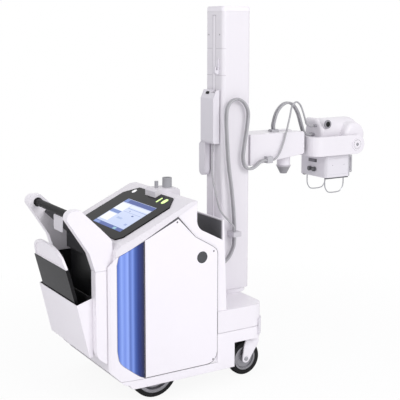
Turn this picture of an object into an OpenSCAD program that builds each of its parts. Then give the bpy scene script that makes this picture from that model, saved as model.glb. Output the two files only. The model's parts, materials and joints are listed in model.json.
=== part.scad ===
// Mobile x-ray machine: motorised base, console, swivelling column, lifting carriage,
// telescoping arm, forked yoke, tube head and collimator.
// +X points forward, from the push handle to the tube head. +Z is up, the floor is Z = 0.
// Lengths along X are laid out from a plane just behind the drive axle, and placed() moves them to the
// middle of the object.

/* [Body] */
// Width over the side panels
body_w = 650; // [620:10:700]
// Rear wall of the cabinet, behind the layout's origin
cabinet_back = 202; // [196:1:210]
// Front wall of the cabinet, ahead of the layout's origin
cabinet_front = 400; // [395:1:410]
// Front end of the base, ahead of the layout's origin
base_front = 652; // [645:1:670]
// Height of the skirt's lower edge above the floor
skirt_z = 82; // [75:1:90]
// Height of the seam under the side panels
panel_z = 125; // [115:1:135]
// Height of the seam under the front platform
platform_seam_z = 273; // [265:1:280]
// Height of the front platform's top
platform_z = 390; // [385:1:400]
// Thickness of the moulded skirt
skirt_wall = 6; // [4:1:8]
// Thickness of the side and corner panels
panel_t = 5; // [3:1:8]

/* [Console] */
// Slope of the console, in degrees
console_slope = 27.2; // [25:0.2:29]
// Height of the console's lower seam above the layout's origin
console_seam_z = 839; // [832:1:848]
// Width of the display glass
display_w = 500; // [460:10:520]
// Thickness of the display glass
display_t = 12; // [8:1:16]

/* [Wheels] */
// Diameter of the drive wheels
drive_d = 254; // [244:2:260]
// Place of the drive axle, ahead of the layout's origin
drive_x = 20; // [14:1:24]
// Width of the drive tyres
drive_w = 50; // [44:1:56]
// Distance of the drive wheels' outer faces inside the body's sides
drive_inset = 40; // [35:1:45]
// Radius of the drive axle
axle_r = 15; // [12:0.5:18]
// Diameter of the caster wheels
caster_d = 180; // [170:2:184]
// Width of the caster wheels
caster_w = 40; // [34:1:44]
// Place of the caster swivels, ahead of the layout's origin
caster_x = 605; // [600:1:610]
// Distance of the caster swivels inside the body's sides
caster_inset = 75; // [70:1:83]
// Trail of the caster wheels
caster_trail = 40; // [34:1:44]
// Radius of the caster stems
stem_r = 12; // [10:0.5:14]
// Radius of the caster axles
pin_r = 6; // [5:0.5:8]

/* [Column] */
// Place of the column's axis, ahead of the layout's origin
column_x = 628; // [624:1:632]
// Depth of the column, along the arm
column_d = 178; // [174:1:182]
// Width of the column
column_w = 167; // [162:1:172]
// Height of the column's top above the floor
column_top = 1928; // [1900:1:1960]
// Wall of the column's profile
column_wall = 14; // [12:1:16]
// Width of the slot in the column's front face
front_slot_w = 64; // [56:1:72]
// Width of the groove in the column's rear face
rear_slot_w = 36; // [30:1:44]
// Radius of the swivel bearing in the foot
spigot_r = 40; // [34:1:48]

/* [Arm] */
// Length of the outer arm
arm_l = 368; // [362:1:374]
// Width of the outer arm
arm_w = 160; // [152:1:166]
// Height of the arm's top above the floor
arm_top = 1244; // [1238:1:1250]
// Height of the inside of the outer arm
bore_h = 104; // [98:1:106]
// Width of the inside of the outer arm
bore_w = 132; // [126:1:136]
// Wall of the telescoping tubes
tube_wall = 6; // [4:1:8]
// Running gap round the telescoping tubes
slide_gap = 1; // [0.5:0.5:1.5]
// Width of the hose slot in the outer arm
hose_slot_w = 56; // [52:1:60]

/* [Head] */
// Height of the roll and tilt axes above the floor
head_z = 1156; // [1150:1:1160]
// Place of the tilt axis, ahead of the layout's origin
tilt_x = 1416; // [1412:1:1420]
// Width over the yoke's arms
yoke_w = 300; // [292:2:310]
// Height of the yoke's band
yoke_h = 110; // [104:1:114]
// Thickness of the yoke's band
yoke_t = 15; // [12:1:18]
// Radius of the tilt pins
tilt_pin_r = 12; // [10:0.5:14]
// Radius of the tube housing
housing_r = 80; // [76:1:84]
// Place of the x-ray beam, ahead of the layout's origin
beam_x = 1310; // [1306:1:1314]
// Length of the collimator along the arm
collimator_l = 186; // [178:2:190]
// Width of the collimator
collimator_w = 230; // [220:2:236]
// Height of the collimator's lower face above the floor
collimator_z = 970; // [962:1:980]

/* [Hidden] */
$fn = 48;

right = -1;
left = 1;
half_w = body_w / 2;
drive_outer_y = half_w - drive_inset;
caster_y = half_w - caster_inset;

// Clearances: face between moving parts, seat between parts of different bodies, running fit
clear = 5;
seat = 0.3;
fit = 0.05;
seam = 2;

handle_tip_x = -432;
nose_x = 1530;

function seam_at(x) = console_seam_z + x * tan(console_slope);

// Points of an arc about a centre, from one angle to another
function arc(c, r, a0, a1, n = 6) =
    [for (i = [0:n]) let (a = a0 + (a1 - a0) * i / n) [c[0] + r * cos(a), c[1] + r * sin(a)]];

// Rounded rectangle from corner to corner
function rounded(x0, y0, x1, y1, r, n = 4) = concat(
    arc([x1 - r, y1 - r], r, 0, 90, n), arc([x0 + r, y1 - r], r, 90, 180, n),
    arc([x0 + r, y0 + r], r, 180, 270, n), arc([x1 - r, y0 + r], r, 270, 360, n));

// A profile drawn in X and Z, extruded across the width
module across(y0, y1) {
    translate([0, y1, 0]) rotate([90, 0, 0]) linear_extrude(y1 - y0) children();
}

// A profile drawn in Y and Z, extruded along the length
module along(x0, x1) {
    translate([x0, 0, 0]) rotate([90, 0, 90]) linear_extrude(x1 - x0) children();
}

// A plan drawn in X and Y, extruded upwards
module upright(z0, z1) {
    translate([0, 0, z0]) linear_extrude(z1 - z0) children();
}

// A box from corner to corner
module box(x0, x1, y0, y1, z0, z1) {
    translate([x0, y0, z0]) cube([x1 - x0, y1 - y0, z1 - z0]);
}

module rod_y(x, z, r, y0, y1) {
    translate([x, y1, z]) rotate([90, 0, 0]) cylinder(r = r, h = y1 - y0);
}

module rod_x(y, z, r, x0, x1) {
    translate([x0, y, z]) rotate([0, 90, 0]) cylinder(r = r, h = x1 - x0);
}

module both_sides() {
    children();
    mirror([0, 1, 0]) children();
}

module placed() {
    translate([shift_x, 0, 0]) children();
}

// Body plan at an inset: straight sides, elliptical rear corners and rounded front corners
corner_x0 = -60;
corner_x1 = -236;
corner_y1 = half_w - 59;
front_r = 70;

function rear_corner(inset, n = 8) = [for (i = [0:n]) let (a = 90 * i / n)
    [corner_x0 + (corner_x1 - corner_x0) * sin(a),
     corner_y1 - inset + (half_w - corner_y1) * cos(a)]];

function body_half(inset) = concat(
    arc([base_front - front_r, half_w - front_r], front_r - inset, 0, 90, 6), rear_corner(inset));

module body_plan(inset, x0, x1) {
    half = body_half(inset);
    intersection() {
        polygon(concat(half, [for (i = [len(half) - 1:-1:0]) [half[i][0], -half[i][1]]]));
        translate([x0, -half_w]) square([x1 - x0, body_w]);
    }
}

// Rear belly: the lower edge of the body runs in towards the floor
belly = [[-125, skirt_z], [-140, 102], [-164, 108], [-200, 142], [-236, 190]];
belly_x = belly[len(belly) - 1][0];

/* Chassis */

rail_z = 100;
deck_z = 176;
deck_t = 10;
frame_half_w = half_w - 135;
mount_z = 210;
mount_t = 14;
cross_x0 = caster_x - 42;
cross_x1 = caster_x + 34;

module chassis_frame() color("dimgray") placed() difference() {
    union() {
        box(-110, 470, -frame_half_w, frame_half_w, deck_z, deck_z + deck_t);
        both_sides() box(-110, 470, 130, frame_half_w, rail_z, deck_z);
        box(440, cross_x1, -95, 95, rail_z, mount_z + mount_t);
        box(cross_x0, cross_x1, -(caster_y + 32), caster_y + 32, mount_z, mount_z + mount_t);
    }
    for (side = [right, left]) translate([caster_x, side * caster_y, 0])
        cylinder(r = stem_r + fit, h = 400);
    rod_y(drive_x, drive_d / 2, axle_r, -frame_half_w - 1, frame_half_w + 1);
}

module power_block() color("dimgray") placed()
    box(-150, 320, -175, 175, deck_z + deck_t, 600);

module drive_axle() color("gray") placed() {
    rod_y(drive_x, drive_d / 2, axle_r, -(drive_outer_y - 4), drive_outer_y - 4);
}

// Skirt: a moulded wall round the base, open over the casters
arch_x = 462;
panel_front = 357;
module skirt() color("whitesmoke") placed() difference() {
    intersection() {
        upright(skirt_z, platform_seam_z) body_plan(0, -300, base_front);
        across(-half_w, half_w) polygon(concat(belly, [[belly_x, platform_seam_z],
            [base_front, platform_seam_z], [base_front, skirt_z]]));
    }
    intersection() {
        upright(0, platform_seam_z + 1) body_plan(skirt_wall, -300, base_front - skirt_wall);
        across(-half_w, half_w) polygon(concat(
            [[-125 + skirt_wall, 0]], [for (p = belly) [p[0] + skirt_wall, p[1] + skirt_wall]],
            [[belly_x + skirt_wall, platform_seam_z + 1], [base_front, platform_seam_z + 1],
             [base_front, 0]]));
    }
    box(-400, panel_front, -half_w - 1, half_w + 1, panel_z, platform_seam_z + 1);
    box(arch_x, 900, -half_w - 1, half_w + 1, 0, mount_z);
}

// Front platform that the column stands on
foot_r = 96;
module base_platform() color("whitesmoke") placed() difference() {
    union() {
        upright(platform_seam_z + seam, platform_z) body_plan(0, panel_front + seam, base_front);
        upright(mount_z + mount_t, platform_seam_z + seam)
            body_plan(skirt_wall + 1, cabinet_front + 4, base_front - skirt_wall - 1);
    }
    for (side = [right, left]) translate([caster_x, side * caster_y, 0])
        cylinder(r = stem_r + clear, h = mount_z + mount_t + 14);
}

bumper_x = 611;
module front_bumper() color("silver") placed() difference() {
    upright(mount_z + 16, 310) body_plan(-7, bumper_x, base_front + 7);
    upright(mount_z, 330) body_plan(0, 500, base_front);
}

// Cabinet: one moulding with the storage bin, its side walls cut down towards the front wall
front_wall_top = 859;
front_wall_t = 10;
tray_floor = 700;
tray_x0 = 238;
tray_wall = 10;
tray_side = 14;
tray_x1 = cabinet_front - front_wall_t - 4;
tray_low = 757;
tray_edge = concat([[tray_x0, seam_at(tray_x0)]], arc([tray_x0 + 62, 872], 62, 180, 250, 6),
    [[cabinet_front - front_wall_t - 2, tray_low]]);
cell_top = 640;

module cabinet() color("white") placed() difference() {
    intersection() {
        upright(0, 1100) body_plan(panel_t, -cabinet_back, cabinet_front + 16);
        across(-half_w, half_w) polygon(concat(
            [[-cabinet_back, 148], [-cabinet_back, seam_at(-cabinet_back)]], tray_edge,
            [[cabinet_front - front_wall_t - 2, front_wall_top],
             [cabinet_front - 2, front_wall_top],
             [cabinet_front + 14, platform_z], [panel_front + seam, platform_z],
             [panel_front, platform_z - 4], [panel_front, panel_z + seam],
             [-181, panel_z + seam]]));
    }
    // Space for the wheels, the frame and the power block, open below
    box(-cabinet_back + 12, panel_front - 12, -drive_outer_y - 6, drive_outer_y + 6, 0, cell_top);
    // The frame's deck and rails pass through the front wall
    box(panel_front - 20, panel_front + 3, -frame_half_w, frame_half_w, 0, deck_z + deck_t);
    // Storage bin behind the front wall
    box(tray_x0 + tray_wall, tray_x1, -half_w + tray_side, half_w - tray_side, tray_floor, 1000);
}

// Side panels: one flat panel a side, with the seams left round it
module side_panels() color("white") placed() both_sides()
    across(half_w - panel_t, half_w) polygon(concat(
        [[corner_x0 + seam, panel_z + seam], [corner_x0 + seam, seam_at(corner_x0) - seam],
         [129, seam_at(129) - seam], [227, 793], [322, 738]],
        arc([panel_front - 42, 692], 42, 50, 0, 4),
        arc([panel_front - 60, panel_z + 62], 60, 0, -90, 6)));

// Corner panels: curved glossy panels behind the side panels
module corner_panels() color("royalblue") placed() both_sides() intersection() {
    difference() {
        upright(panel_z, 900) body_plan(0, corner_x1, corner_x0 - seam);
        upright(0, 1000) body_plan(panel_t, corner_x1 - 10, corner_x0 + 10);
    }
    across(200, half_w) polygon([[corner_x0 - seam, panel_z + seam], [-181, panel_z + seam],
        [-200, 144], [-225, 168], [-232, 180], [-232, 690], [-200, seam_at(-200) - seam],
        [corner_x0 - seam, seam_at(corner_x0) - seam]]);
}

/* Rear end */

pillar_y0 = half_w - 103;
pillar_y1 = half_w - 55;
pillar_x0 = -292;
pillar_x1 = -cabinet_back;
arm_seam_z = 675;

module rear_pillars() color("white") placed() both_sides()
    across(pillar_y0, pillar_y1) polygon(concat(
        [[pillar_x1, 190], [pillar_x1, arm_seam_z - 1], [pillar_x0, arm_seam_z - 1]],
        arc([pillar_x0 + 70, 290], 70, 180, 236, 4)));

module handle_arms() color("white") placed() both_sides()
    across(pillar_y0, pillar_y1) polygon(concat(
        [[pillar_x0, arm_seam_z], [-320, 763], [-371, 842]],
        arc([handle_tip_x + 37, 940], 37, 190, 90, 5),
        [[-363, 976], [-350, 963], [-266, 882], [-213, 828],
         [pillar_x1, 812], [pillar_x1, arm_seam_z]]));

bar_x = -378;
bar_z = 938;
bar_r = 18;
module handle_bar() color("black") placed() rod_y(bar_x, bar_z, bar_r, -pillar_y0, pillar_y0);

module handle_bridge() color("dimgray") placed() across(-pillar_y0, pillar_y0)
    polygon([[-345, 884], [-333, 897], [pillar_x1, 776], [pillar_x1, 690], [-224, 690],
             [-224, 768]]);

/* Console */

console_x0 = pillar_x1;
display_x0 = -161;
display_x1 = 186;
display_edge = 6;
function console_top(x) = seam_at(x) + 46 - 18 * (x - display_x0) / (display_x1 - display_x0);
display_tilt = atan((console_top(display_x1) - console_top(display_x0)) / (display_x1 - display_x0));

// Slab square to the console's top, with cut corners
module display_slab(half, z0, z1, grow = 0) {
    run = (display_x1 - display_x0) / cos(display_tilt);
    small_cut = 30;
    large_cut = 70;
    translate([display_x0, 0, console_top(display_x0)]) rotate([0, -display_tilt, 0])
        upright(z0, z1) polygon([
            [-grow, -half + small_cut], [-grow, half - small_cut], [small_cut, half + grow],
            [run - large_cut, half + grow], [run + grow, half - large_cut],
            [run + grow, -half + large_cut], [run - large_cut, -half - grow],
            [small_cut, -half - grow]]);
}

module console() color("white") placed() difference() {
    intersection() {
        across(-half_w, half_w) polygon([
            [console_x0, seam_at(console_x0)], [console_x0, seam_at(console_x0) + 30],
            [display_x0 - 14, console_top(display_x0 - 14)],
            [display_x1 + 14, console_top(display_x1 + 14)],
            [tray_x0, seam_at(tray_x0) + 10], [tray_x0, seam_at(tray_x0)]]);
        upright(600, 1100) body_plan(1, console_x0, 400);
    }
    display_slab(display_w / 2, -display_edge, 80, 0.5);
}

// Docking pod: carries the cups that hold the arm's cone in transport
pod_x0 = 150;
pod_x1 = 296;
pod_w = 110;
pod_top = 992;
pod_lift = 12;
module docking_pod() color("whitesmoke") placed() difference() {
    across(-pod_w / 2, pod_w / 2) polygon([
        [pod_x0, console_top(pod_x0) - 20], [pod_x0, pod_top - 12], [pod_x0 + 14, pod_top],
        [pod_x1 - 14, pod_top], [pod_x1, pod_top - 12], [pod_x1, 930], [tray_x0 + 20, 885],
        [tray_x0, 885]]);
    pod_bed();
}

// What the docking pod stands on: the console and the display under it
module pod_bed() {
    across(-half_w, half_w) polygon([
        [console_x0, 600], [console_x0, seam_at(console_x0)],
        [display_x0 - 14, console_top(display_x0 - 14)],
        [display_x0, console_top(display_x0)], [display_x1, console_top(display_x1)],
        [display_x1 + 14, console_top(display_x1 + 14)],
        [tray_x0, seam_at(tray_x0) + 10], [tray_x0, 600]]);
}

module display() color("black") placed() difference() {
    display_slab(display_w / 2 - 1, -display_edge, display_t - display_edge);
    box(pod_x0 - 1, 400, -pod_w / 2 - 1, pod_w / 2 + 1, 800, 1200);
}

cup_r = 25;
cup_x = 250;
module docking_cups() color("gray") placed() {
    translate([cup_x, 0, pod_top]) difference() {
        cylinder(r = cup_r, h = 50);
        translate([0, 0, 8]) cylinder(r = cup_r - 5, h = 60);
    }
    translate([192, 10, pod_top]) cylinder(r = 10, h = 34);
}

// Dark liner of the storage bin, a little lower than the walls that it lines
liner_t = 3;
liner_drop = 5;
module storage_liner() color("dimgray") placed() difference() {
    intersection() {
        box(tray_x0 + tray_wall, tray_x1, -half_w + tray_side, half_w - tray_side, tray_floor, 1000);
        across(-half_w, half_w) polygon(concat([[tray_x0, tray_floor - 1]],
            [for (i = [0:len(tray_edge) - 2]) tray_edge[i] - [0, liner_drop]],
            [[tray_x1 - liner_t, tray_low - liner_drop],
             [tray_x1 - liner_t, front_wall_top - liner_drop],
             [tray_x1 + 1, front_wall_top - liner_drop], [tray_x1 + 1, tray_floor - 1]]));
    }
    box(tray_x0 + tray_wall + liner_t, tray_x1 - liner_t, -half_w + tray_side + liner_t,
        half_w - tray_side - liner_t, tray_floor + liner_t, 1001);
}

/* Detector bin */

bin_half_w = pillar_y0 + 13;
bin_wall = 4;
bin_foot_x = -304;
bin_z0 = 250;
bin_z1 = 515;
bin_lip_x = -374;
bin_lean = atan((bin_foot_x - bin_lip_x) / (bin_z1 - bin_z0));
module detector_bin() color("white") placed() difference() {
    across(-bin_half_w, bin_half_w) polygon([
        [pillar_x0, bin_z0], [bin_foot_x - 8, bin_z0], [bin_lip_x, bin_z1], [pillar_x0, 540]]);
    across(-bin_half_w + bin_wall, bin_half_w - bin_wall) polygon([
        [pillar_x0 - bin_wall, bin_z0 + bin_wall], [bin_foot_x - 8 + bin_wall, bin_z0 + bin_wall],
        [bin_lip_x + bin_wall, bin_z1 + 4], [pillar_x0 - bin_wall, 560]]);
}

// The flat detector stands in the bin and leans out with the bin's front wall
detector_t = 17;
detector_h = 440;
detector_half_w = pillar_y0 - 22;
handle_rise = 104;
detector_x = bin_foot_x + 6;
detector_tip_x = detector_x + 2 * cos(bin_lean) - (detector_h + handle_rise) * sin(bin_lean);

// The detector's handle or the handle arms reach furthest back, the tube head's nose furthest ahead
shift_x = -(min(handle_tip_x, detector_tip_x) + nose_x) / 2;

module leaning() {
    translate([detector_x, 0, bin_z0 + bin_wall + seat]) rotate([0, -bin_lean, 0]) children();
}

module detector() color("black") placed() difference() {
    leaning() box(-1, detector_t - 1, -detector_half_w, detector_half_w, 0, detector_h);
    box(-400, 0, -half_w, half_w, 0, bin_z0 + bin_wall);
    box(pillar_x0 - bin_wall, 0, -half_w, half_w, 0, 545);
}

// Outline of the detector's grip: a flat arch over the detector's top edge
grip_half_w = detector_half_w - 6;
grip_rim = 16;
function grip_arch(half, base, rise, n = 10) =
    [for (i = [n:-1:-n]) [half * i / n, base + rise * sqrt(1 - pow(abs(i) / n, 3))]];

module detector_handle() color("white") placed() leaning() difference() {
    along(2, 14) polygon(grip_arch(grip_half_w, detector_h, handle_rise));
    along(1, 6) grip_recess();
    along(10, 15) grip_recess();
}

module grip_recess()
    polygon(grip_arch(grip_half_w - grip_rim, detector_h + 8, handle_rise - 8 - grip_rim));

module column_foot() color("silver") placed() difference() {
    translate([column_x, 0, platform_z]) cylinder(r = foot_r, h = column_z0 - platform_z - seat);
    translate([column_x, 0, platform_z]) cylinder(r = spigot_r + fit, h = 100);
}

/* Wheels */

// Ring of a tyre about the X = 0, Z = 0 axis, with rounded shoulders
module tyre_ring(r_in, r_out, w, shoulder) {
    rotate([90, 0, 0]) rotate_extrude() polygon(concat(
        [[r_in, -w / 2], [r_in, w / 2]],
        arc([r_out - shoulder, w / 2 - shoulder], shoulder, 90, 0, 4),
        arc([r_out - shoulder, -w / 2 + shoulder], shoulder, 0, -90, 4)));
}

drive_rim_r = 104;
drive_web = 9;
module drive_rim(side) color("lightgray") placed()
    translate([drive_x, side * (drive_outer_y - drive_w / 2), drive_d / 2]) rotate([90, 0, 0])
    rotate_extrude() polygon([
        [axle_r + fit, -drive_w / 2 + 4], [36, -drive_w / 2 + 4], [44, -drive_web], [80, -drive_web],
        [88, -drive_w / 2 + 2], [drive_rim_r, -drive_w / 2 + 2], [drive_rim_r, drive_w / 2 - 2],
        [88, drive_w / 2 - 2], [80, drive_web], [44, drive_web], [36, drive_w / 2 - 4],
        [axle_r + fit, drive_w / 2 - 4]]);

module drive_tyre(side) color("dimgray") placed()
    translate([drive_x, side * (drive_outer_y - drive_w / 2), drive_d / 2])
    tyre_ring(drive_rim_r, drive_d / 2, drive_w, 10);

caster_wheel_x = caster_x - caster_trail;
caster_rim_r = 64;
fork_gap = 4;
fork_t = 7;
crown_z = caster_d + 8;

module caster_fork(side) color("white") placed() {
    translate([caster_x, side * caster_y, crown_z]) cylinder(r = 46, h = 14);
    translate([caster_x, side * caster_y, crown_z + 14]) cylinder(r = 20, h = mount_z - crown_z - 14 - seat);
    translate([caster_x, side * caster_y, crown_z + 14]) cylinder(r = stem_r, h = mount_z + mount_t - crown_z - 16);
    for (k = [right, left]) translate([0, side * caster_y, 0]) {
        y0 = k * (caster_w / 2 + fork_gap + fork_t / 2);
        translate([0, y0, 0]) across(-fork_t / 2, fork_t / 2) polygon(concat(
            arc([caster_wheel_x, caster_d / 2], 22, 180, 330, 6),
            [[caster_x + 40, crown_z - 20], [caster_x + 40, crown_z + 6], [caster_x - 40, crown_z + 6],
             [caster_x - 52, crown_z - 30]]));
    }
    translate([0, side * caster_y, 0]) rod_y(caster_wheel_x, caster_d / 2, pin_r,
        -(caster_w / 2 + fork_gap + fork_t), caster_w / 2 + fork_gap + fork_t);
}

module caster_rim(side) color("lightgray") placed()
    translate([caster_wheel_x, side * caster_y, caster_d / 2]) rotate([90, 0, 0])
    rotate_extrude() polygon([
        [pin_r + fit, -caster_w / 2 - 2], [18, -caster_w / 2 - 2], [22, -10], [50, -10],
        [54, -caster_w / 2 + 2], [caster_rim_r, -caster_w / 2 + 2], [caster_rim_r, caster_w / 2 - 2],
        [54, caster_w / 2 - 2], [50, 10], [22, 10], [18, caster_w / 2 + 2],
        [pin_r + fit, caster_w / 2 + 2]]);

module caster_tyre(side) color("dimgray") placed()
    translate([caster_wheel_x, side * caster_y, caster_d / 2])
    tyre_ring(caster_rim_r, caster_d / 2, caster_w, 10);

/* Column */

column_z0 = platform_z + 20;
cap_h = 26;
slot_z0 = column_z0 + 60;
slot_z1 = column_top - cap_h - 20;
column_r = 20;

module column_outline(inset) polygon(rounded(
    column_x - column_d / 2 + inset, -column_w / 2 + inset,
    column_x + column_d / 2 - inset, column_w / 2 - inset, column_r - inset * 0.8));

module column() color("whitesmoke") placed() difference() {
    union() {
        upright(column_z0, column_top - cap_h) column_outline(0);
        translate([column_x, 0, platform_z + 1]) cylinder(r = spigot_r, h = column_z0 - platform_z);
    }
    upright(column_z0 + 40, column_top) column_outline(column_wall);
    box(column_x, column_x + 200, -front_slot_w / 2, front_slot_w / 2, slot_z0, slot_z1);
    box(column_x - 200, column_x, -rear_slot_w / 2, rear_slot_w / 2, slot_z0, slot_z1);
}

module column_cap() color("white") placed() difference() {
    upright(column_top - cap_h, column_top) column_outline(0);
    upright(column_top - 6, column_top + 1) difference() {
        square([4000, 1000], center = true);
        column_outline(4);
    }
}

// Hook on the column's rear face and a peg on its left side, near the top
hook_z0 = 1572;
hook_y0 = -50;
hook_y1 = -24;
hook_reach = 25;
module column_hook() color("gray") placed() {
    back = column_x - column_d / 2;
    across(hook_y0, hook_y1) polygon([
        [back, hook_z0], [back, hook_z0 + 84], [back - 6, hook_z0 + 84], [back - 10, hook_z0 + 22],
        [back - hook_reach + 6, hook_z0 + 22], [back - hook_reach + 6, hook_z0 + 40],
        [back - hook_reach, hook_z0 + 40], [back - hook_reach, hook_z0 + 10], [back - 12, hook_z0]]);
    rod_y(back + 36, hook_z0 + 46, 11, column_w / 2, column_w / 2 + 22);
}

// Clip that holds the hoses to the side of the column
clip_z0 = 712;
clip_z1 = 738;
clip_x0 = 572;
clip_x1 = 622;
module hose_clip() color("gray") placed()
    box(clip_x0, clip_x1, -146, -column_w / 2, clip_z0, clip_z1);

/* Carriage and outer arm */

guide = 1.5;
arm_x0 = column_x + column_d / 2 + clear;
arm_x1 = arm_x0 + arm_l;
block_z0 = 1080;
block_z1 = 1470;
cover_x0 = column_x - column_d / 2 - 45;
cover_x1 = column_x - column_d / 2 - clear;
cover_z0 = 1206;
cover_z1 = 1490;
cover_half_w = 62;

module carriage() color("silver") placed() {
    inner = column_wall + guide;
    upright(block_z0, block_z1) polygon(rounded(
        column_x - column_d / 2 + inner, -column_w / 2 + inner,
        column_x + column_d / 2 - inner, column_w / 2 - inner, 6));
    box(column_x + 40, arm_x0, -front_slot_w / 2 + guide, front_slot_w / 2 - guide,
        block_z0 + 10, arm_top - 6);
    box(cover_x1, column_x - 40, -rear_slot_w / 2 + guide, rear_slot_w / 2 - guide,
        cover_z0 + 20, cover_z1 - 30);
}

module carriage_cover() color("lightgray") placed() difference() {
    cover_shape();
    // Channel that clears the column's hook
    box(cover_x1 - hook_reach - 1, cover_x1 + 1, hook_y0 - clear - 1, hook_y1 + clear + 1,
        cover_z0 - 1, cover_z1 + 1);
}

module cover_shape() {
    across(-cover_half_w, cover_half_w) polygon([
        [cover_x1, cover_z1], [cover_x1, cover_z0], [cover_x0 + 8, cover_z0],
        [cover_x0, cover_z0 + 12], [cover_x0, cover_z1 - 44], [cover_x0 + 20, cover_z1]]);
    along(cover_x0 + 6, cover_x1 - 4) polygon(concat(
        arc([57, cover_z0 - 150], 30, 180, 360, 8), [[87, cover_z0 - 10], [62, cover_z0 + 10],
        [62, cover_z0], [27, cover_z0]]));
}

bore_z1 = arm_top - 14;
bore_z0 = bore_z1 - bore_h;
tip_z0 = 1116;
tip_r = 14;
arm_root_z = 1075;
slot_x0 = arm_x0 + 183;

module arm_outer() color("white") placed() difference() {
    across(-arm_w / 2, arm_w / 2) polygon(concat(
        [[arm_x0, arm_root_z]], arc([arm_x1 - tip_r, tip_z0 + tip_r], tip_r, 270, 360, 4),
        arc([arm_x1 - 18, arm_top - 18], 18, 0, 90, 4), [[arm_x0, arm_top]]));
    box(arm_x0 + 12, arm_x1 + 1, -bore_w / 2, bore_w / 2, bore_z0, bore_z1);
    box(slot_x0, arm_x1 + 1, -hose_slot_w / 2, hose_slot_w / 2, bore_z1 - 1, arm_top + 1);
}

gland_x0 = 815;
gland_x1 = 850;
module arm_gland() color("gray") placed()
    box(gland_x0, gland_x1, -112, -arm_w / 2, 1086, 1122);

cone_x = 2 * column_x - cup_x;
cone_z0 = 1003;
cone_z1 = 1049;
module docking_cone() color("gray") placed() {
    translate([cone_x, 0, cone_z0]) cylinder(r1 = 19, r2 = 42, h = cone_z1 - cone_z0);
    difference() {
        translate([cone_x, 0, cone_z1]) cylinder(r = 37, h = 80);
        across(-100, 100) polygon([[arm_x0, arm_root_z], [arm_x1 - tip_r, tip_z0],
            [arm_x1 - tip_r, 1200], [arm_x0, 1200]]);
    }
}

/* Telescoping tubes */

stage_1_w = bore_w - 2 * slide_gap;
stage_1_z0 = bore_z0 + slide_gap;
stage_1_z1 = bore_z1 - slide_gap;
stage_1_x0 = arm_x0 + 18;
stage_1_x1 = arm_x1 - 4;
stage_2_w = stage_1_w - 2 * tube_wall - 2 * slide_gap;
stage_2_z0 = stage_1_z0 + tube_wall + slide_gap;
stage_2_z1 = stage_1_z1 - tube_wall - slide_gap;
stage_2_x0 = arm_x0 + 24;
stage_2_x1 = arm_x1 + 4;
saddle_w = 40;
saddle_x0 = slot_x0 + 6;
saddle_x1 = saddle_x0 + 46;

module arm_stage_1() color("silver") placed() difference() {
    box(stage_1_x0, stage_1_x1, -stage_1_w / 2, stage_1_w / 2, stage_1_z0, stage_1_z1);
    box(stage_1_x0 - 1, stage_1_x1 + 1, -stage_1_w / 2 + tube_wall, stage_1_w / 2 - tube_wall,
        stage_1_z0 + tube_wall, stage_1_z1 - tube_wall);
    box(slot_x0, stage_1_x1 + 1, -saddle_w / 2 - 4, saddle_w / 2 + 4,
        stage_1_z1 - tube_wall - 1, stage_1_z1 + 1);
}

module arm_stage_2() color("silver") placed() difference() {
    box(stage_2_x0, stage_2_x1, -stage_2_w / 2, stage_2_w / 2, stage_2_z0, stage_2_z1);
    box(stage_2_x0 - 1, stage_2_x1 - 14, -stage_2_w / 2 + tube_wall, stage_2_w / 2 - tube_wall,
        stage_2_z0 + tube_wall, stage_2_z1 - tube_wall);
}

saddle_z1 = arm_top + 12;
module hose_saddle() color("gray") placed() along(saddle_x0, saddle_x1)
    polygon([[-saddle_w / 2, stage_2_z1], [saddle_w / 2, stage_2_z1],
             [saddle_w / 2, saddle_z1 - 10], [saddle_w / 2 - 8, saddle_z1],
             [-saddle_w / 2 + 8, saddle_z1], [-saddle_w / 2, saddle_z1 - 10]]);

bearing_r = 42;
bearing_x1 = 1111 - seat;
module yoke_bearing() color("black") placed() rod_x(0, head_z, bearing_r, stage_2_x1, bearing_x1);

/* Yoke */

yoke_x0 = 1111;
yoke_x1 = tilt_x + yoke_h / 2;
yoke_r = 60;

module yoke() color("white") placed() {
    intersection() {
        upright(head_z - yoke_h / 2, head_z + yoke_h / 2) difference() {
            polygon(concat(
                [[yoke_x1, -yoke_w / 2], [yoke_x1, yoke_w / 2]],
                arc([yoke_x0 + yoke_r, yoke_w / 2 - yoke_r], yoke_r, 90, 180, 6),
                arc([yoke_x0 + yoke_r, -yoke_w / 2 + yoke_r], yoke_r, 180, 270, 6)));
            polygon(concat(
                [[yoke_x1 + 1, -yoke_w / 2 + yoke_t], [yoke_x1 + 1, yoke_w / 2 - yoke_t]],
                arc([yoke_x0 + yoke_r, yoke_w / 2 - yoke_r], yoke_r - yoke_t, 90, 180, 6),
                arc([yoke_x0 + yoke_r, -yoke_w / 2 + yoke_r], yoke_r - yoke_t, 180, 270, 6)));
        }
        union() {
            box(yoke_x0 - 1, tilt_x, -yoke_w, yoke_w, head_z - yoke_h / 2, head_z + yoke_h / 2);
            rod_y(tilt_x, head_z, yoke_h / 2, -yoke_w, yoke_w);
        }
    }
    both_sides() rod_y(tilt_x, head_z, tilt_pin_r, boss_y1 - 18, yoke_w / 2 - yoke_t);
}

module tilt_scales() color("silver") placed() both_sides()
    rod_y(tilt_x, head_z, 36, yoke_w / 2, yoke_w / 2 + 4);

/* Tube head */

housing_z = 1222;
housing_x0 = 1215;
boss_x = 1422;
boss_z = 1208;
boss_r = 72;
boss_y1 = yoke_w / 2 - yoke_t - clear;
port_r = 45;
port_z0 = 1099;
socket_x = 1250;
socket_z = 1274;
socket_r = 27;

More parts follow.
